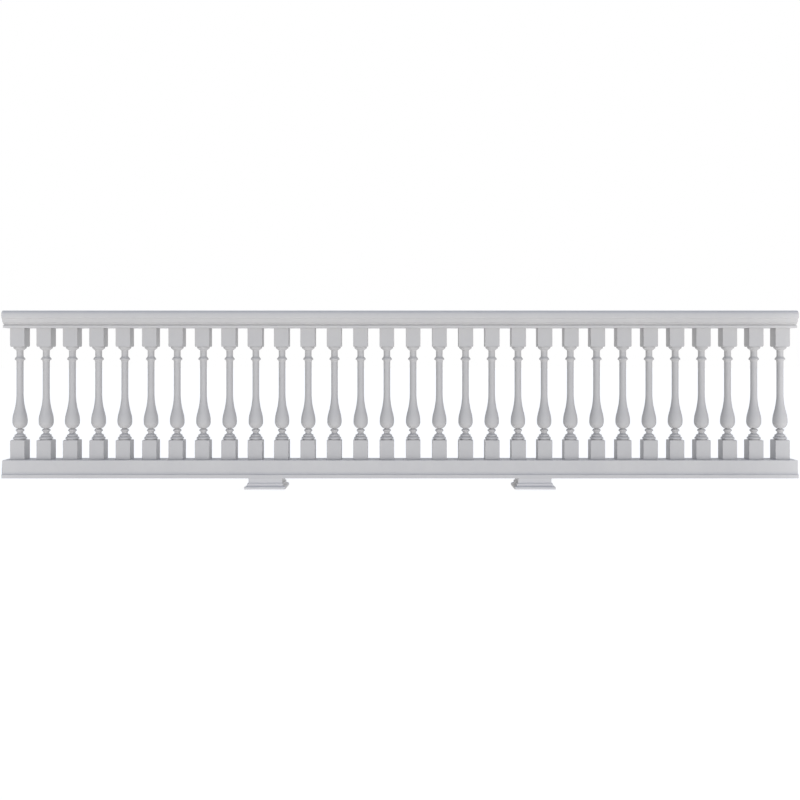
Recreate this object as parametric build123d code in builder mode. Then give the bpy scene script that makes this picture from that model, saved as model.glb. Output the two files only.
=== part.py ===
"""A moulded balustrade: two rails, thirty turned balusters and two support blocks under the lower rail.

Millimetres, +Z up, +X along the rails, front towards -Y.
The origin is on the ground, under the middle of the run.
"""

from build123d import *
from math import atan
from math import cos
from math import degrees
from math import radians
from math import sin
from math import tan
import os

os.makedirs("parts", exist_ok=True)

# Driving dimensions of the run
rail_length = 3657.6
baluster_count = 30
support_spacing = 1237.0

# Lower rail: a plain board with a hollow that runs out to a square lip at its foot
bottom_rail_height = 82.0
bottom_rail_depth = 111.0
bottom_lip_projection = 9.5
bottom_lip_height = 15.0
bottom_hollow_height = 14.5
bottom_edge_radius = 2.5

# Upper rail, from its foot: a band, a quirk, an ogee, a fillet, an ogee and a rounded cap
top_rail_height = 80.0
top_rail_depth = 131.0
top_edge_radius = 20.5
top_side_height = 10.5
top_upper_ogee_height = 11.0
top_upper_ogee_projection = 10.0
top_fillet_height = 8.0
top_lower_ogee_height = 13.0
top_lower_ogee_projection = 12.5
top_quirk_height = 6.0
top_quirk_depth = 6.0
top_quirk_slope_height = 3.0

# Support block: a neck, flush with the rail's lip, that spreads in an ogee and a hollow to its foot
support_height = 48.5
support_neck_width = 153.0
support_neck_height = 18.3
support_ogee_height = 6.5
support_ogee_projection = 5.5
support_fillet_height = 5.7
support_hollow_radius = 3.5
support_slope_projection = 11.5
support_slope_angle = 26.0

# Baluster: a square block at each end and a turned part between them
baluster_height = 609.0
block_width = 67.0
lower_block_height = 92.0
upper_block_height = 88.0

# Turned part, from the lower block upwards
foot_disc_radius = 30.5
foot_disc_height = 8.2
foot_bead_radius = 24.0
foot_bead_height = 13.0
waist_radius = 12.5
waist_hollow_height = 10.3
cup_radius = 19.8
cup_height = 11.5
undercut_radius = 11.5
undercut_height = 8.6
bulb_under_height = 35.2
taper_height = 127.0
taper_round_share = 1 / 3
shaft_radius = 15.6
ring_radius = 24.0
ring_under_height = 9.0
ring_over_height = 10.5
neck_height = 25.0
shoulder_height = 18.0
shoulder_bulge = 1.2

# The turned part has flat sides and short chords, so that a long row of them stays light
turned_sides = 12
bulb_chords = 3
taper_chords = 2
shoulder_chords = 2

# Heights and places that follow
bottom_rail_base = support_height
bottom_rail_top = bottom_rail_base + bottom_rail_height
top_rail_base = bottom_rail_top + baluster_height
baluster_pitch = rail_length / baluster_count
turned_height = baluster_height - lower_block_height - upper_block_height


def ogee(start, across, rise):
    """Two equal arcs that leave and arrive upright, across and up from start."""
    turn = 2 * atan(abs(across) / rise)
    radius = rise / (2 * sin(turn))
    sweep_angle = -degrees(turn) if across > 0 else degrees(turn)
    first = JernArc(start, (0, 1), radius, sweep_angle)
    return JernArc(first @ 1, first % 1, radius, -sweep_angle)


def section_plane(height):
    """The plane across a rail at its left end, upright, with its base at a height."""
    return Plane((-rail_length / 2, 0, height), x_dir=(0, 1, 0), z_dir=(1, 0, 0))


# Lower rail
bottom_half = bottom_rail_depth / 2
bottom_lip_half = bottom_half + bottom_lip_projection
bottom_hollow_top = bottom_lip_height + bottom_hollow_height
with BuildPart() as bottom_rail:
    with BuildSketch(section_plane(bottom_rail_base)) as bottom_section:
        with BuildLine():
            Line((0, 0), (bottom_lip_half, 0))
            Line((bottom_lip_half, 0), (bottom_lip_half, bottom_lip_height))
            EllipticalCenterArc(
                (bottom_lip_half, bottom_hollow_top),
                bottom_lip_projection,
                bottom_hollow_height,
                start_angle=180,
                arc_size=90,
            )
            Line((bottom_half, bottom_hollow_top), (bottom_half, bottom_rail_height))
            Line((bottom_half, bottom_rail_height), (0, bottom_rail_height))
            Line((0, bottom_rail_height), (0, 0))
        make_face()
        mirror(about=Plane.YZ)
        fillet(bottom_section.vertices().group_by(Axis.Y)[-1], bottom_edge_radius)
    extrude(amount=rail_length)

# Upper rail
top_half = top_rail_depth / 2
top_fillet_half = top_half - top_upper_ogee_projection
top_quirk_half = top_fillet_half - top_lower_ogee_projection
top_band_half = top_quirk_half + top_quirk_depth
top_side_top = top_rail_height - top_edge_radius
top_side_foot = top_side_top - top_side_height
top_fillet_top = top_side_foot - top_upper_ogee_height
top_fillet_foot = top_fillet_top - top_fillet_height
top_quirk_top = top_fillet_foot - top_lower_ogee_height
top_quirk_foot = top_quirk_top - top_quirk_height
top_band_height = top_quirk_foot - top_quirk_slope_height
with BuildPart() as top_rail:
    with BuildSketch(section_plane(top_rail_base)) as top_section:
        with BuildLine():
            Line((0, 0), (top_band_half, 0))
            Line((top_band_half, 0), (top_band_half, top_band_height))
            Line((top_band_half, top_band_height), (top_quirk_half, top_quirk_foot))
            Line((top_quirk_half, top_quirk_foot), (top_quirk_half, top_quirk_top))
            ogee((top_quirk_half, top_quirk_top), top_lower_ogee_projection, top_lower_ogee_height)
            Line((top_fillet_half, top_fillet_foot), (top_fillet_half, top_fillet_top))
            ogee((top_fillet_half, top_fillet_top), top_upper_ogee_projection, top_upper_ogee_height)
            Line((top_half, top_side_foot), (top_half, top_side_top))
            JernArc((top_half, top_side_top), (0, 1), top_edge_radius, 90)
            Line((top_half - top_edge_radius, top_rail_height), (0, top_rail_height))
            Line((0, top_rail_height), (0, 0))
        make_face()
        mirror(about=Plane.YZ)
    extrude(amount=rail_length)

# Support block, with the same mouldings on all four sides, so its corners are mitred
support_slope = radians(support_slope_angle)
support_hollow_turn = 90 - support_slope_angle
support_hollow_across = support_hollow_radius * (1 - sin(support_slope))
support_hollow_drop = support_hollow_radius * cos(support_slope)
support_slope_drop = (support_slope_projection - support_hollow_across) * tan(support_slope)
support_neck_foot = support_height - support_neck_height
support_fillet_top = support_neck_foot - support_ogee_height
support_fillet_foot = support_fillet_top - support_fillet_height
support_foot_height = support_fillet_foot - support_hollow_drop - support_slope_drop
support_neck_half = support_neck_width / 2
support_spread = support_ogee_projection + support_slope_projection


def support_section(neck_half):
    """The outline of a support block around a neck of a half width, standing on the ground."""
    fillet_half = neck_half + support_ogee_projection
    foot_half = neck_half + support_spread
    with BuildSketch() as section:
        with BuildLine():
            neck = Line((0, support_height), (neck_half, support_height))
            Line(neck @ 1, (neck_half, support_neck_foot))
            ogee((fillet_half, support_fillet_top), -support_ogee_projection, support_ogee_height)
            fillet_foot = (fillet_half, support_fillet_foot)
            Line((fillet_half, support_fillet_top), fillet_foot)
            hollow = JernArc(fillet_foot, (0, -1), support_hollow_radius, support_hollow_turn)
            slope = Line(hollow @ 1, (foot_half, support_foot_height))
            edge = Line(slope @ 1, (foot_half, 0))
            foot = Line(edge @ 1, (0, 0))
            Line(foot @ 1, neck @ 0)
        make_face()
        mirror(about=Plane.YZ)
    return section.sketch


with BuildPart() as support_pattern:
    with BuildSketch(Plane.XZ):
        add(support_section(support_neck_half))
    extrude(amount=bottom_lip_half + support_spread, both=True)
    with BuildSketch(Plane.YZ):
        add(support_section(bottom_lip_half))
    extrude(amount=support_neck_half + support_spread, both=True, mode=Mode.INTERSECT)

# Outline of the turned part, from the lower block's top to the upper block's underside
bulb_radius = block_width / 2
taper_drop = bulb_radius - shaft_radius
taper_turn = 2 * atan(taper_drop / taper_height)
taper_radii = taper_height / sin(taper_turn)
taper_round = taper_radii * taper_round_share
bulb_lean = 2 * atan(bulb_under_height / (bulb_radius - undercut_radius)) - radians(90)
bulb_turn = 90 - degrees(bulb_lean)
bulb_under_radius = bulb_under_height / cos(bulb_lean)
with BuildLine() as turned_outline:
    disc = Line((foot_disc_radius, 0), (foot_disc_radius, foot_disc_height))
    bead = Line(disc @ 1, (foot_bead_radius, (disc @ 1).Y + foot_bead_height))
    hollow = Line(bead @ 1, (waist_radius, (bead @ 1).Y + waist_hollow_height))
    cup = Line(hollow @ 1, (cup_radius, (hollow @ 1).Y + cup_height))
    undercut = Line(cup @ 1, (undercut_radius, (cup @ 1).Y + undercut_height))
    bulb_height = (undercut @ 1).Y + bulb_under_height
    bulb = JernArc(undercut @ 1, (cos(bulb_lean), sin(bulb_lean)), bulb_under_radius, bulb_turn)
    swell = JernArc((bulb_radius, bulb_height), (0, 1), taper_round, degrees(taper_turn))
    taper = JernArc(swell @ 1, swell % 1, taper_radii - taper_round, -degrees(taper_turn))
    shoulder_foot = turned_height - shoulder_height
    ring_foot = shoulder_foot - neck_height - ring_over_height - ring_under_height
    shaft = Line(taper @ 1, (shaft_radius, ring_foot))
    ring_under = Line(shaft @ 1, (ring_radius, ring_foot + ring_under_height))
    ring_over = Line(ring_under @ 1, (shaft_radius, (ring_under @ 1).Y + ring_over_height))
    neck = Line(ring_over @ 1, (shaft_radius, shoulder_foot))
    shoulder = SagittaArc(neck @ 1, (bulb_radius, turned_height), shoulder_bulge)

outline_steps = (
    (disc, 1),
    (bead, 1),
    (hollow, 1),
    (cup, 1),
    (undercut, 1),
    (bulb, bulb_chords),
    (swell, taper_chords),
    (taper, taper_chords),
    (shaft, 1),
    (ring_under, 1),
    (ring_over, 1),
    (neck, 1),
    (shoulder, shoulder_chords),
)
corners = [curve @ (step / steps) for curve, steps in outline_steps for step in range(steps)]
corners.append(shoulder @ 1)

# The same outline is cut across at even angles, which leaves twice as many flat sides
with BuildPart() as turned_part:
    for cut in range(turned_sides // 2):
        with BuildSketch(Plane.XZ.rotated((0, 0, 360 * cut / turned_sides))):
            with BuildLine():
                flank = Polyline(corners)
                Polyline(flank @ 1, (0, turned_height), (0, 0), flank @ 0)
            make_face()
            mirror(about=Plane.YZ)
        extrude(amount=block_width, both=True, mode=Mode.INTERSECT if cut else Mode.ADD)

# One baluster, standing on the ground at the origin
with BuildPart() as baluster_pattern:
    with BuildSketch():
        Rectangle(block_width, block_width)
    extrude(amount=lower_block_height)
    with Locations((0, 0, lower_block_height)):
        add(turned_part.part)
    with BuildSketch(Plane.XY.offset(lower_block_height + turned_height)):
        Rectangle(block_width, block_width)
    extrude(amount=upper_block_height)

# The row of balusters, half a pitch in from each end of the rails
for number in range(1, baluster_count + 1):
    place = (number - (baluster_count + 1) / 2) * baluster_pitch
    with BuildPart() as baluster:
        with Locations((place, 0, bottom_rail_top)):
            add(baluster_pattern.part)
    baluster.part.label = f"baluster_{number:02d}"
    export_step(baluster.part, f"parts/{baluster.part.label}.step")

# The two support blocks, under the lower rail
for side, place in (("left", -support_spacing / 2), ("right", support_spacing / 2)):
    with BuildPart() as support_block:
        with Locations((place, 0, 0)):
            add(support_pattern.part)
    support_block.part.label = f"support_block_{side}"
    export_step(support_block.part, f"parts/{support_block.part.label}.step")

bottom_rail.part.label = "bottom_rail"
export_step(bottom_rail.part, "parts/bottom_rail.step")
top_rail.part.label = "top_rail"
export_step(top_rail.part, "parts/top_rail.step")
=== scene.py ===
# %% [markdown]
# # A moulded balustrade
#
# Two rails, thirty turned balusters and two support blocks, all of rigid polyurethane foam that
# was cast in moulds and sprayed with primer.
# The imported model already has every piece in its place, with sharp edges and flat-sided balusters.
# Each step below dresses those pieces: the balusters become truly round, every edge gets the small
# radius that a mould leaves, and all of it gets its primed skin.

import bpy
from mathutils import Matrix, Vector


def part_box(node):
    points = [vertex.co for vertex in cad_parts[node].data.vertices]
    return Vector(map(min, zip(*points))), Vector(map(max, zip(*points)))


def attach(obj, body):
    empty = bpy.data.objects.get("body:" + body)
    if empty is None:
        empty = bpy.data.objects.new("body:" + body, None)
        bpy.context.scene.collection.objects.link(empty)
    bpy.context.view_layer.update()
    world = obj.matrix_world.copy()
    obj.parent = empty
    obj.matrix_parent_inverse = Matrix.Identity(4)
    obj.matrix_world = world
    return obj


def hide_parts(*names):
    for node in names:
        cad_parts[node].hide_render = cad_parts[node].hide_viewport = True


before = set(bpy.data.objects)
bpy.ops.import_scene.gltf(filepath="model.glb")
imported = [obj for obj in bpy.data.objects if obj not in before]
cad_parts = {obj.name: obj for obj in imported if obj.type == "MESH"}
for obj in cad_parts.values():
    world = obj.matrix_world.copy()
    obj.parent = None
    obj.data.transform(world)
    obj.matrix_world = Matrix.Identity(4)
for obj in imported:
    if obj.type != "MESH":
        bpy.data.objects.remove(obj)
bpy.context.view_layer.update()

# %% Libraries and units
from math import acos, atan, atan2, ceil, copysign, cos, hypot, pi, radians, sin, sqrt, tan

import bmesh
import bpy
from mathutils import Vector

mm = 0.001
scene = bpy.context.scene

# %% [markdown]
# ## Camera
#
# The picture was taken square on to the run, from its middle, at three quarters of its height.
# A level camera keeps all uprights parallel. The object then sits below the middle of the view, so
# the lens is shifted a little, as an architectural photographer does, and not tilted.

# %% Camera, level and square on
picture_px = 800
focal_px = 956.0
horizon_px = 355.15         # row of the picture at the camera's height
camera_distance = 4.4484    # from the run's middle plane, in metres
camera_height = 0.614
sensor_width = 36           # of a full-frame camera, in mm
view_reach = 200            # how far away anything still shows, in metres

camera = bpy.data.objects.new("camera", bpy.data.cameras.new("camera"))
scene.collection.objects.link(camera)
camera.location = (0, -camera_distance, camera_height)
camera.rotation_euler = (radians(90), 0, 0)
camera.data.sensor_width = sensor_width
camera.data.lens = sensor_width * focal_px / picture_px
camera.data.shift_y = (horizon_px - picture_px / 2) / picture_px
camera.data.clip_end = view_reach
scene.camera = camera
print("lens", round(camera.data.lens, 2), "mm, shift", round(camera.data.shift_y, 4))

# %% [markdown]
# ## Outlines with eased corners
#
# A pattern maker draws a moulding as straight runs and gives each corner a radius, because a sharp
# corner neither fills well in a mould nor holds primer. One function does the same here.
# It takes corners as (across, up, radius) and returns the points of the line with every corner
# replaced by an arc. An S-shaped moulding, an ogee, is then just two corners whose arcs meet.

# %% Round the corners of an outline
arc_error = 0.02            # how far a chord may lie from its arc, in mm
widest_turn = radians(23)   # of one chord
shortest_cut = 1e-6         # below this a corner is already a straight line
shortest_run = 1e-3         # points nearer than this, in mm, are one point


def eased(corners):
    """Points along the outline, with an arc in place of each inner corner."""
    points = [corners[0][:2]]
    for before, (x, z, radius), after in zip(corners, corners[1:], corners[2:]):
        back, ahead = (before[0] - x, before[1] - z), (after[0] - x, after[1] - z)
        run_back, run_ahead = hypot(*back), hypot(*ahead)
        level = (back[0] * ahead[0] + back[1] * ahead[1]) / run_back / run_ahead
        turn = pi - acos(max(-1, min(1, level)))
        cut = radius * tan(turn / 2)
        if radius == 0 or cut < shortest_cut:
            points.append((x, z))
            continue
        start = (x + back[0] / run_back * cut, z + back[1] / run_back * cut)
        end = (x + ahead[0] / run_ahead * cut, z + ahead[1] / run_ahead * cut)
        chord_turn = min(widest_turn, 2 * acos(1 - min(arc_error / radius, 1)))
        chords = max(2, ceil(turn / chord_turn))
        middle = ((start[0] + end[0]) / 2 - x, (start[1] + end[1]) / 2 - z)
        reach = hypot(radius, cut) / hypot(*middle)
        centre = (x + middle[0] * reach, z + middle[1] * reach)
        first = atan2(start[1] - centre[1], start[0] - centre[0])
        last = atan2(end[1] - centre[1], end[0] - centre[0])
        sweep = (last - first + pi) % (2 * pi) - pi
        for step in range(chords + 1):
            angle = first + sweep * step / chords
            points.append((centre[0] + radius * cos(angle), centre[1] + radius * sin(angle)))
    points.append(corners[-1][:2])
    kept = [points[0]]
    for point in points[1:]:
        if hypot(point[0] - kept[-1][0], point[1] - kept[-1][1]) > shortest_run:
            kept.append(point)
    return kept


# %% The two corners of an ogee
arcs_apart = 0.999   # share of each arc's room that it takes, so that the two never overlap


def ogee(start, across, rise):
    """The two corners of an S-curve that leaves and arrives upright."""
    turn = 2 * atan(abs(across) / rise)
    radius = rise / (2 * sin(turn))
    cut = radius * tan(turn / 2) * arcs_apart
    x, z = start
    return [(x, z + cut, radius), (x + across, z + rise - cut, radius)]


sample = eased([(0, 0, 0), *ogee((0, 0), 10, 11), (10, 11, 0)])
print("an ogee 10 across and 11 up:", len(sample), "points")

# %% [markdown]
# ## Skins from rings
#
# Rails, balusters and blocks all have one section that changes along one axis. So each is a stack
# of rings with the same number of points, joined by quads and closed with a face at both ends.
# That makes one watertight skin with no hidden faces. A boolean of boxes and a lathe form could
# make the same shape, but it leaves long thin triangles that shade badly.

# %% Join rings into one closed skin
sharp_angle = radians(32)   # edges that turn by more than this stay crisp


def skin(name, rings):
    """A closed mesh through a list of rings, in metres, smooth except at its sharp edges."""
    shape = bmesh.new()
    layers = [[shape.verts.new(Vector(point) * mm) for point in ring] for ring in rings]
    count = len(layers[0])
    for lower, upper in zip(layers, layers[1:]):
        for i in range(count):
            j = (i + 1) % count
            shape.faces.new((lower[i], lower[j], upper[j], upper[i]))
    shape.faces.new(list(reversed(layers[0])))
    shape.faces.new(layers[-1])
    bmesh.ops.recalc_face_normals(shape, faces=shape.faces)
    mesh = bpy.data.meshes.new(name)
    shape.to_mesh(mesh)
    shape.free()
    mesh.shade_smooth()
    mesh.set_sharp_from_angle(angle=sharp_angle)
    return mesh


def place_piece(name, mesh, material, node):
    """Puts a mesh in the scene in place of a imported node, on the body that carries it."""
    piece = bpy.data.objects.new(name, mesh)
    scene.collection.objects.link(piece)
    level = piece.modifiers.new("flat faces stay flat", "WEIGHTED_NORMAL")
    level.keep_sharp = True
    mesh.materials.clear()
    mesh.materials.append(material)
    low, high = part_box(node)
    piece.location = ((low.x + high.x) / 2, (low.y + high.y) / 2, low.z)
    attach(piece, "root")
    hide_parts(node)
    return piece


# %% [markdown]
# ## Colours and nodes
#
# Colours are written as hex, as they look on a screen. Blender's shaders work with linear light,
# so one function turns them over. A second one adds a shader node with its settings and its links.

# %% Colour and node helpers
def linear(code):
    """An sRGB hex colour as linear red, green, blue and alpha."""
    parts = [int(code[i:i + 2], 16) / 255 for i in (1, 3, 5)]
    return [c / 12.92 if c <= 0.04045 else ((c + 0.055) / 1.055) ** 2.4 for c in parts] + [1]


def add_node(tree, kind, settings=None, **inputs):
    """A node of a kind, with its settings, and its inputs given as values or as sockets to link."""
    node = tree.nodes.new("ShaderNode" + kind)
    for name, value in (settings or {}).items():
        setattr(node, name, value)
    for name, value in inputs.items():
        key = name.replace("_", " ")
        socket = node.inputs[int(key[5:])] if key.startswith("input") else node.inputs[key]
        if isinstance(value, bpy.types.NodeSocket):
            tree.links.new(value, socket)
        else:
            socket.default_value = value
    return node


print("#808080 is", [round(c, 3) for c in linear("#808080")])

# %% [markdown]
# ## The finish: moulded, primed rigid polyurethane
#
# The foam is cast in silicone moulds, which gives it a dense skin. It leaves the works with a coat
# of acrylic primer. In this light that is a pale, nearly neutral grey to the eye, matte and with
# no grain: soft highlights, a very fine orange peel from the spray gun, and long shallow waves
# where the skin settled in the mould. The coat is a little uneven, so its tone and its gloss drift
# by a few percent.
# An image texture could show all that, but patterns worked out from a point's place have no seams
# and no size limit. Real orange peel has cells of about 1.5 mm. That is a third of a pixel here,
# so it is drawn at 5 mm, and the waves at their own size.

# %% Sizes of the primer's patterns, in mm
coat_size = 160.0       # drift of tone and gloss over a piece
mottle_size = 22.0      # finer unevenness within it
mottle_share = 0.35
peel_cell = 5.0
peel_depth = 0.02
wave_depth = 0.12
print("drift", coat_size, "mm, mottle", mottle_size, "mm, orange peel", peel_cell, "mm")

# %% Primed polyurethane
primer_ior = 1.48                       # acrylic
gloss_range = (0.5, 0.62)               # roughness where the coat is thick, and thin
coat_range = (0.3, 0.7)                 # where the noise of the coat has its lows and highs
tone_range = (0.32, 0.68)               # the same for coat and mottle together
pattern_shift = (3.1, 1.7, 2.3)         # by place, so that no two castings look alike


def primed_polyurethane(name, light, shade, wave_length, stretch):
    """The primed skin. stretch is how many times longer the mould's waves are along X, Y and Z."""
    material = bpy.data.materials.new(name)
    material.use_nodes = True
    tree = material.node_tree
    tree.nodes.clear()
    place = add_node(tree, "TexCoord")
    which = add_node(tree, "ObjectInfo")
    own = add_node(
        tree, "VectorMath", {"operation": "MULTIPLY_ADD"},
        input0=which.outputs["Location"], input1=pattern_shift, input2=place.outputs["Object"],
    )
    along = add_node(
        tree, "VectorMath", {"operation": "DIVIDE"}, input0=own.outputs[0], input1=stretch
    )
    coat = add_node(
        tree, "TexNoise",
        Vector=own.outputs[0], Scale=1 / (coat_size * mm), Detail=3.0, Roughness=0.55,
    )
    mottle = add_node(
        tree, "TexNoise",
        Vector=own.outputs[0], Scale=1 / (mottle_size * mm), Detail=2.0, Roughness=0.5,
    )
    uneven = add_node(
        tree, "Mix", {"data_type": "FLOAT"},
        Factor=mottle_share, A=coat.outputs["Fac"], B=mottle.outputs["Fac"],
    )
    tone = add_node(tree, "ValToRGB", Fac=uneven.outputs["Result"])
    for stop, position, colour in zip(tone.color_ramp.elements, tone_range, (shade, light)):
        stop.position = position
        stop.color = linear(colour)
    gloss = add_node(
        tree, "MapRange", Value=coat.outputs["Fac"],
        From_Min=coat_range[0], From_Max=coat_range[1],
        To_Min=gloss_range[0], To_Max=gloss_range[1],
    )
    waves = add_node(
        tree, "TexNoise", Vector=along.outputs[0], Scale=1 / (wave_length * mm), Detail=1.0
    )
    waved = add_node(
        tree, "Bump", Strength=1.0, Distance=wave_depth * mm, Height=waves.outputs["Fac"]
    )
    peel = add_node(
        tree, "TexNoise",
        Vector=own.outputs[0], Scale=1 / (peel_cell * mm), Detail=2.0, Roughness=0.6,
    )
    peeled = add_node(
        tree, "Bump", Strength=1.0, Distance=peel_depth * mm,
        Height=peel.outputs["Fac"], Normal=waved.outputs["Normal"],
    )
    primer = add_node(
        tree, "BsdfPrincipled",
        Base_Color=tone.outputs["Color"], Roughness=gloss.outputs["Result"],
        Normal=peeled.outputs["Normal"], IOR=primer_ior, Metallic=0.0,
    )
    output = add_node(tree, "OutputMaterial")
    tree.links.new(primer.outputs["BSDF"], output.inputs["Surface"])
    return material


rail_finish = primed_polyurethane("primed_rail", "#D0CFCF", "#CBCACB", 60, (9, 1, 1))
baluster_finish = primed_polyurethane("primed_baluster", "#CAC9C9", "#C5C4C5", 45, (1, 1, 3))
# The support blocks' primer is written a few levels paler than the rails'. That is painted light: it
# stands in for light thrown up from the white floor onto the low parts.
support_finish_painted_floor_light = primed_polyurethane("primed_support_block_painted_floor_light", "#D5D4D5", "#D1D0D2", 50, (1, 1, 1))
print("finishes:", [m.name for m in (rail_finish, baluster_finish, support_finish_painted_floor_light)])

# %% [markdown]
# ## The lower rail
#
# A plain board, 82 mm high and 111 mm deep, whose foot runs out in a hollow to a square lip. The
# lip covers the heads of the support blocks and throws rain off. A curve with a bevel profile would
# do, but it can't ease its cut ends. So half of the section is written once and mirrored, and the
# last millimetre at each end shrinks in steps.

# %% Rails from a section
end_ease = 1.2      # edges of a cut end, in mm
mould_ease = 1.2    # edges that come out of the mould
joint_ease = 0.4    # edges that meet another piece
end_steps = 3
end_inset = 0.9     # how far the section shrinks at its end, as a share of end_ease


def rail_rings(half, length):
    """Rings along X for a rail, from half of its section, with both ends eased."""
    outline = [(-y, z) for y, z in half] + list(reversed(half))[1:-1]
    count = len(outline)
    normals = []
    for i in range(count):
        (ax, az), (bx, bz) = outline[i - 1], outline[(i + 1) % count]
        run = hypot(bx - ax, bz - az)
        normals.append(((bz - az) / run, (ax - bx) / run))
    area = sum(
        a[0] * b[1] - b[0] * a[1] for a, b in zip(outline, outline[1:] + outline[:1])
    )
    inward = -1 if area > 0 else 1
    rings = []
    for end in (-1, 1):
        for step in range(end_steps + 1):
            angle = pi / 2 * (step if end < 0 else end_steps - step) / end_steps
            inset = end_ease * (1 - sin(angle)) * end_inset
            x = end * (length / 2 - end_ease * (1 - cos(angle)))
            rings.append([
                (x, y + inward * inset * ny, z + inward * inset * nz)
                for (y, z), (ny, nz) in zip(outline, normals)
            ])
    return rings


# %% The lower rail's section
low_corner, high_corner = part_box("bottom_rail")
rail_length = (high_corner.x - low_corner.x) / mm
lip_half = (high_corner.y - low_corner.y) / 2 / mm
board_height = (high_corner.z - low_corner.z) / mm
lip_reach = 9.5
lip_height = 16.0
hollow_height = 13.5
board_half = lip_half - lip_reach
board_ease = 1.0

hollow_steps = 6
hollow = []
for k in range(1, hollow_steps + 1):
    angle = pi / 2 * k / hollow_steps
    hollow.append(
        (lip_half - lip_reach * sin(angle), lip_height + hollow_height * (1 - cos(angle)), 0)
    )
lower_section = eased([
    (0, 0, 0), (lip_half, 0, joint_ease), (lip_half, lip_height, mould_ease / 2),
    *hollow,
    (board_half, board_height, board_ease), (0, board_height, 0),
])
lower_rail = place_piece(
    "lower_rail", skin("lower_rail", rail_rings(lower_section, rail_length)),
    rail_finish, "bottom_rail",
)
print("lower rail:", len(lower_rail.data.polygons), "faces,", rail_length, "mm long")

# %% [markdown]
# ## The upper rail
#
# The handrail is a cap moulding: a band at its foot, a narrow quirk that draws a dark line, an
# ogee, a flat fillet, a second ogee and a rounded cap. The quirk's shadow is the strongest line in
# the whole picture, so its slope and depth matter more than any other size of the rail. It is real
# geometry, because a dark stripe painted in the material would look wrong from any other side.

# %% The upper rail's section
cap_low, cap_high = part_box("top_rail")
cap_half = (cap_high.y - cap_low.y) / 2 / mm
cap_height = (cap_high.z - cap_low.z) / mm
cap_radius = 20.5
upper_ogee, upper_ogee_across, upper_ogee_rise = 38.0, 10.0, 11.0
lower_ogee, lower_ogee_across, lower_ogee_rise = 19.6, 10.0, 10.4
fillet_half = cap_half - upper_ogee_across
ogee_foot_half = fillet_half - lower_ogee_across
quirk_half = 38.5
quirk_foot, quirk_head, quirk_roof = 11.8, 17.8, 19.2
band_half = 47.5
band_height = 10.8

upper_section = eased([
    (0, 0, 0), (band_half, 0, mould_ease), (band_half, band_height, mould_ease / 2),
    (quirk_half, quirk_foot, mould_ease), (quirk_half, quirk_head, mould_ease),
    (ogee_foot_half, quirk_roof, mould_ease / 2),
    *ogee((ogee_foot_half, lower_ogee), lower_ogee_across, lower_ogee_rise),
    *ogee((fillet_half, upper_ogee), upper_ogee_across, upper_ogee_rise),
    (cap_half, cap_height, cap_radius), (0, cap_height, 0),
])
upper_rail = place_piece(
    "upper_rail", skin("upper_rail", rail_rings(upper_section, rail_length)),
    rail_finish, "top_rail",
)
print("upper rail:", len(upper_rail.data.polygons), "faces")

# %% [markdown]
# ## One baluster
#
# Each baluster is one casting: a square block at the foot, a turned part, and a square block at
# the head. From the foot up, the turned part has a disc, a bead, a hollow into the waist, a cup, a
# long pear-shaped bulb that draws out into the shaft, a ring, a neck and a shoulder. Narrow quirks
# under the disc, round the bead, under the bulb and over the shoulder draw its dark lines.
# A screw modifier could spin the outline, but its circles wouldn't join the square blocks. So the
# outline is the turner's drawing, in corners with radii, and it becomes a stack of rings. They
# start as squares, change to circles on the lower block's top, and change back under the upper
# block. The same tool has turned off that block's corners, so each of its faces ends level in the
# middle and rises towards the corners.

# %% Rings of a baluster
flat_steps = 4      # from the middle of a side to the edge of its corner
corner_steps = 8    # across a corner
ring_points = 4 * (2 * flat_steps + corner_steps)
middle_line = 1e-6  # a point this near the middle of a side, in mm, is on it


def four_sides(quarter, z):
    """A whole ring at a height, from the points between the middles of two sides."""
    turns = ((1, 0), (0, 1), (-1, 0), (0, -1))
    return [(x * c - y * s, x * s + y * c, z) for c, s in turns for x, y in quarter]


def circle_ring(radius, z):
    """An even circle."""
    turns = [2 * pi * k / ring_points for k in range(ring_points)]
    return [(radius * cos(t), radius * sin(t), z) for t in turns]


def square_ring(half, ease, z):
    """A square with eased corners."""
    flat = half - ease
    quarter = [(half, flat * k / flat_steps) for k in range(flat_steps)]
    for k in range(corner_steps + 1):
        angle = pi / 2 * k / corner_steps
        quarter.append((flat + ease * cos(angle), flat + ease * sin(angle)))
    quarter += [(flat * (1 - k / flat_steps), half) for k in range(1, flat_steps)]
    return four_sides(quarter, z)


def oblong_ring(half_width, half_depth, ease, z):
    """A square ring with its two halves drawn apart along X."""
    apart = half_width - half_depth
    return [
        (x + copysign(apart, x) * (abs(x) > middle_line), y, z)
        for x, y, z in square_ring(half_depth, ease, z)
    ]


def turned_off_ring(half, radius, z):
    """A square whose corners a lathe has cut back to a radius."""
    first = acos(half / radius)
    edge = radius * sin(first)
    quarter = [(half, edge * k / flat_steps) for k in range(flat_steps)]
    for k in range(corner_steps + 1):
        angle = first + (pi / 2 - 2 * first) * k / corner_steps
        quarter.append((radius * cos(angle), radius * sin(angle)))
    quarter += [(edge * (1 - k / flat_steps), half) for k in range(1, flat_steps)]
    return four_sides(quarter, z)


print(ring_points, "points in each ring")

# %% The turner's drawing
block_low, block_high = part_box("baluster_01")
block_half = (block_high.y - block_low.y) / 2 / mm
baluster_height = (block_high.z - block_low.z) / mm
lower_block = 90.8
upper_block = 86.6
turned_height = baluster_height - lower_block - upper_block

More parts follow.
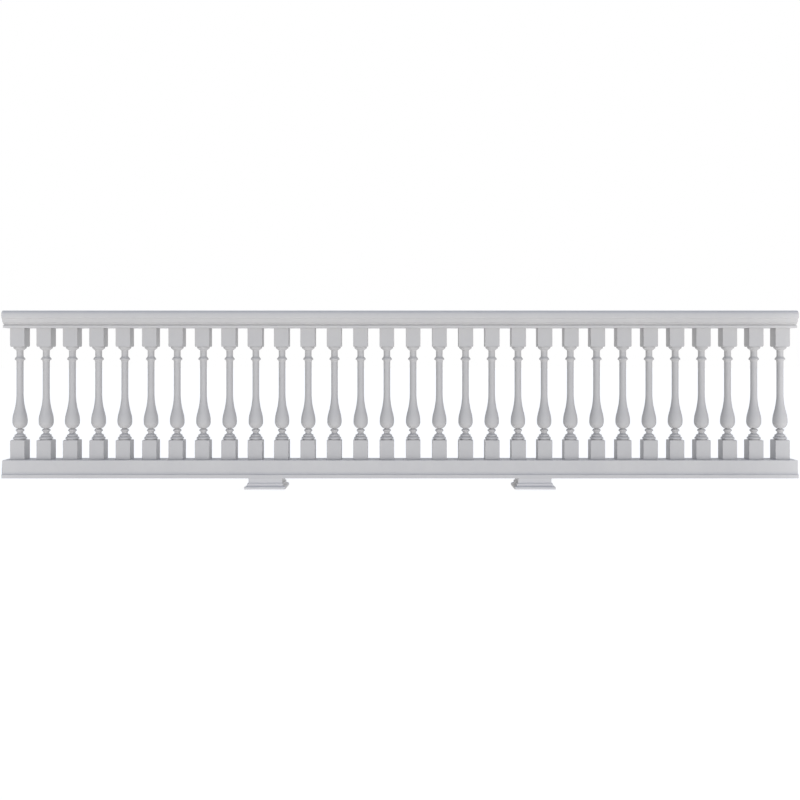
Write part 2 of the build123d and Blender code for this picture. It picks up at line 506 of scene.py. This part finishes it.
foot_mouldings = [
    (26.4, 0.0, 0), (26.4, 4.0, 0.5),                     # quirk
    (31.4, 4.6, 0.5), (31.4, 9.0, 2.0),                   # disc
    (25.8, 15.0, 0.5), (21.6, 15.6, 0.4),                 # its sloping top and a quirk
    (21.6, 16.8, 0.4), (24.4, 17.4, 0.5),
    (24.6, 22.1, 0.7), (18.4, 25.3, 1.2),                 # bead and its sloping top
    (13.9, 29.7, 0.6), (11.4, 30.2, 0.4),                 # quirk over the bead
    (11.4, 31.5, 0.4), (13.4, 32.0, 0.5),
    (13.4, 36.0, 2.5), (19.4, 41.2, 1.2),                 # hollow into the waist
    (19.4, 45.6, 0.6), (14.6, 49.6, 0.8),                 # cup and its sloping top
    (14.4, 50.8, 0.3), (9.8, 51.3, 0.4),                  # quirk under the bulb
    (9.8, 54.0, 0.4), (18.6, 54.4, 0.5),
]
bulb_mouldings = [
    (block_half, 63.8, 34.0),                             # pear-shaped underside
    (block_half, 103.0, 135.0), (15.5, 173.2, 330.0),     # swell and long taper
]
head_mouldings = [
    (15.4, 362.2, 6.0), (17.8, 369.6, 1.0),               # hollow under the ring
    (23.2, 371.2, 2.4), (23.2, 376.9, 2.2),               # ring
    (15.3, 386.5, 4.0),                                   # its sloping top
    (15.3, 414.2, 3.0), (28.7, 425.0, 8.0),               # neck and shoulder
    (29.6, turned_height - 1.3, 0.3), (27.8, turned_height - 1.0, 0.2),
    (27.8, turned_height, 0),                             # quirk under the block
]
turned = eased(foot_mouldings + bulb_mouldings + head_mouldings)
print("turned part:", len(turned), "rings from", turned[0], "to", turned[-1])

# %% The foot of the baluster's skin
edge_ease = 1.1     # block edges, top and bottom
arris_ease = 1.6    # block edges, upright
ease_steps = 3
cut_steps = 8
foot_slope = 0.08                   # fall of the lower block's top, from its disc outwards
foot_cut = block_half + 0.3         # where that top has become a circle, but for a hair
widest = (block_half - arris_ease) * sqrt(2) + arris_ease    # half of a block's diagonal


def block_top(radius):
    """Height of the lower block's sloping top at a radius."""
    return lower_block - (radius - turned[0][0]) * foot_slope


rings = []
for k in range(ease_steps + 1):
    angle = pi / 2 * k / ease_steps
    inset = edge_ease * (1 - sin(angle))
    height = edge_ease * (1 - cos(angle))
    rings.append(square_ring(block_half - inset, arris_ease - inset, height))
rings.append(square_ring(block_half, arris_ease, block_top(widest)))
for k in range(cut_steps + 1):
    radius = widest + (foot_cut - widest) * k / cut_steps
    rings.append(turned_off_ring(block_half, radius, block_top(radius)))
rings += [circle_ring(radius, lower_block + z) for radius, z in turned]
print(len(rings), "rings up to the upper block")

# %% The head of the baluster's skin
head_foot = lower_block + turned_height
head_cut = block_half + 5.0     # radius to which the upper block's corners are turned off
head_cut_height = 10.0          # how far up its corners that goes

for k in range(cut_steps + 1):
    angle = pi / 2 * k / cut_steps
    radius = head_cut + (widest - head_cut) * sin(angle)
    height = head_foot + head_cut_height * (1 - cos(angle))
    rings.append(turned_off_ring(block_half, radius, height))
for k in range(ease_steps + 1):
    angle = pi / 2 * k / ease_steps
    inset = edge_ease * (1 - cos(angle))
    height = baluster_height - edge_ease * (1 - sin(angle))
    rings.append(square_ring(block_half - inset, arris_ease - inset, height))
cast_baluster = skin("baluster", rings)
print("baluster:", len(cast_baluster.polygons), "faces")

# %% [markdown]
# ## The row
#
# All thirty balusters come from one mould, so they share one mesh. An array modifier would make
# them one object, but each is a piece of its own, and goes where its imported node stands. The
# finish reads where a baluster is, so that no two have the same drift of tone.

# %% Thirty balusters
baluster_nodes = sorted(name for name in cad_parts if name.startswith("baluster_"))
for node in baluster_nodes:
    place_piece("turned_" + node, cast_baluster, baluster_finish, node)
print(len(baluster_nodes), "balusters in place")

# %% [markdown]
# ## Support blocks
#
# Two blocks carry the lower rail off the ground and let water drain past it. A block's neck is
# flush with the rail's lip. Below it come an ogee, a fillet with a small hollow at its foot, and a
# slope out to a plain upright foot. Four lengths of moulding could be mitred together, but the real
# block is one casting. So each ring is an oblong, which gives clean mitres at the corners.

# %% The support block's outline
foot_low, foot_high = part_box("support_block_left")
foot_half = (foot_high.x - foot_low.x) / 2 / mm
support_height = (foot_high.z - foot_low.z) / mm
neck_half = 76.5
spread = foot_half - neck_half      # of the foot beyond the neck
neck_half_depth = (foot_high.y - foot_low.y) / 2 / mm - spread
fillet_spread = 5.5
fillet_head = 23.7      # where the ogee starts
ogee_rise = 6.5
slope_foot = 10.2       # where the slope starts, over the foot
slope_head = 15.8       # where it would meet the fillet, without its hollow
sole_ease, slope_ease, hollow_radius = 0.8, 1.0, 2.0
turned_in = 2.0         # how far the top and bottom faces start inside their edges

support_outline = eased([
    (spread - turned_in, 0, 0), (spread, 0, sole_ease),
    (spread, slope_foot, slope_ease), (fillet_spread, slope_head, hollow_radius),
    *ogee((fillet_spread, fillet_head), -fillet_spread, ogee_rise),
    (0, support_height, joint_ease), (-turned_in, support_height, 0),
])
print("support block outline:", len(support_outline), "points")

# %% Two support blocks
support_arris = 2.2     # upright edges
support_rings = [
    oblong_ring(neck_half + out, neck_half_depth + out, support_arris, z)
    for out, z in support_outline
]
for side in ("left", "right"):
    node = "support_block_" + side
    mesh = skin(node, support_rings)
    piece = place_piece("moulded_" + node, mesh, support_finish_painted_floor_light, node)
    print(piece.name, len(mesh.polygons), "faces")

# %% [markdown]
# ## Light
#
# The picture is a catalogue cut-out: pale, soft, and white all round. The strongest light comes
# from the front and from a little below, as from white boards at the camera's feet. Light from
# straight below and from behind fills the undersides, and what comes from above is weaker and
# bluer. So the tops of the mouldings and the grooves read as darker, cooler lines, and the hollows
# under the rails don't.
# The world gives that light by direction, which is softer than any lamp. Each entry below is one
# soft board: where it stands, how narrow it is, its colour and its strength. The camera sees plain
# white instead, and so do the faint reflections in the primer.

# %% Light from the world, by direction
low_front = (0, -cos(pi / 8), -sin(pi / 8))
lower_front = (0, -cos(pi / 4), -sin(pi / 4))
studio_boards = [
    ((0, -1, 0), 8, "#FDFDFF", 1.37),
    ((0, -1, 0), 2, "#FFFFFF", 0.16),
    (low_front, 8, "#FFFFFF", 1.33),
    (lower_front, 4, "#FFFFFF", 0.28),
    ((0, 0, -1), 2, "#FFFFFF", 0.78),
    ((0, 1, 0), 2, "#FFFFFF", 1.00),
    ((1, 0, 0), 2, "#FFFFFF", 0.47),
    ((0, 0, 1), 2, "#D3E2FF", 0.73),
]


def studio_world(boards):
    """Light by direction for all that the object scatters, and plain white to look at."""
    world = bpy.data.worlds.new("studio")
    world.use_nodes = True
    tree = world.node_tree
    tree.nodes.clear()
    direction = add_node(tree, "TexCoord").outputs["Generated"]
    light = (0, 0, 0)
    for place, narrow, colour, strength in boards:
        facing = add_node(
            tree, "VectorMath", {"operation": "DOT_PRODUCT"}, input0=direction, input1=place
        )
        ahead = add_node(
            tree, "Math", {"operation": "MAXIMUM"}, input0=facing.outputs["Value"], input1=0.0
        )
        lobe = add_node(
            tree, "Math", {"operation": "POWER"}, input0=ahead.outputs[0], input1=narrow
        )
        board = [channel * strength for channel in linear(colour)[:3]]
        lit = add_node(
            tree, "VectorMath", {"operation": "MULTIPLY_ADD"},
            input0=lobe.outputs[0], input1=board, input2=light,
        )
        light = lit.outputs["Vector"]
    soft = add_node(tree, "Background", Color=light, Strength=1.0)
    white = add_node(tree, "Background", Color=linear("#FFFFFF"), Strength=1.0)
    seen = add_node(tree, "LightPath")
    direct = add_node(
        tree, "Math", {"operation": "MAXIMUM"},
        input0=seen.outputs["Is Camera Ray"], input1=seen.outputs["Is Glossy Ray"],
    )
    shown = add_node(
        tree, "MixShader",
        input0=direct.outputs[0], input1=soft.outputs[0], input2=white.outputs[0],
    )
    output = add_node(tree, "OutputWorld")
    tree.links.new(shown.outputs[0], output.inputs["Surface"])
    return world


scene.world = studio_world(studio_boards)
print("world:", scene.world.name, "with", len(studio_boards), "boards")

# %% [markdown]
# Both ends of the run are a little brighter in the picture, the right one more so, and only over
# the last two or three balusters. The world lights all of the run alike, so a narrow upright strip
# stands close in front of each end.

# %% Strip lights at both ends
strip_reach = 2.0               # from the middle of the run, in metres
strip_front = -0.28             # just before the balusters
strip_middle = 0.42             # over the floor
strip_width, strip_height = 0.1, 1.0
for end, power in ((-1, 0.23), (1, 0.55)):
    strip = bpy.data.objects.new("strip_light", bpy.data.lights.new("strip_light", "AREA"))
    scene.collection.objects.link(strip)
    strip.data.shape = "RECTANGLE"
    strip.data.size, strip.data.size_y = strip_width, strip_height
    strip.data.energy = power
    strip.location = (end * strip_reach, strip_front, strip_middle)
    strip.rotation_euler = (radians(90), 0, 0)
    strip.visible_camera = False
    print(strip.name, power, "W")

# %% [markdown]
# ## The floor
#
# The run stands on a plain white sheet that has no edge in view. A sheet that only scattered light
# would look grey under such a soft sky, and one lit harder would brighten the object as well. So
# part of its white is a glow of its own, and the rest is scattered light, which keeps the object's
# faint shadow. It is left out of the diffuse rays, because the world already sends up the light
# that it would.

# %% A white floor that keeps the shadow
floor_reach = 40.0      # from its middle, in metres
floor_parts = 8         # along each side
floor_drop = 0.0005     # under the feet, so that the two never fight for one plane
floor_scatter = 0.5     # share of the light that comes back
floor_glow = 0.78

floor_shape = bmesh.new()
bmesh.ops.create_grid(
    floor_shape, x_segments=floor_parts, y_segments=floor_parts, size=floor_reach
)
floor_mesh = bpy.data.meshes.new("floor")
floor_shape.to_mesh(floor_mesh)
floor_shape.free()
floor = bpy.data.objects.new("floor", floor_mesh)
scene.collection.objects.link(floor)
floor.location.z = -floor_drop
floor.visible_diffuse = False
floor.visible_shadow = False

floor_paint = bpy.data.materials.new("white_floor")
floor_paint.use_nodes = True
paint_tree = floor_paint.node_tree
paint_tree.nodes.clear()
lit = add_node(paint_tree, "BsdfDiffuse", Color=(floor_scatter, floor_scatter, floor_scatter, 1))
glow = add_node(paint_tree, "Emission", Color=linear("#FFFFFF"), Strength=floor_glow)
both = add_node(paint_tree, "AddShader", input0=lit.outputs[0], input1=glow.outputs[0])
paint_output = add_node(paint_tree, "OutputMaterial")
paint_tree.links.new(both.outputs[0], paint_output.inputs["Surface"])
floor_mesh.materials.append(floor_paint)
print("floor:", floor_reach * 2, "m across")

# %% [markdown]
# ## View settings
#
# The Standard view shows a colour as it is written, so the primer's grey comes out as mixed.

# %% View settings
scene.view_settings.view_transform = "Standard"

bpy.context.view_layer.update()
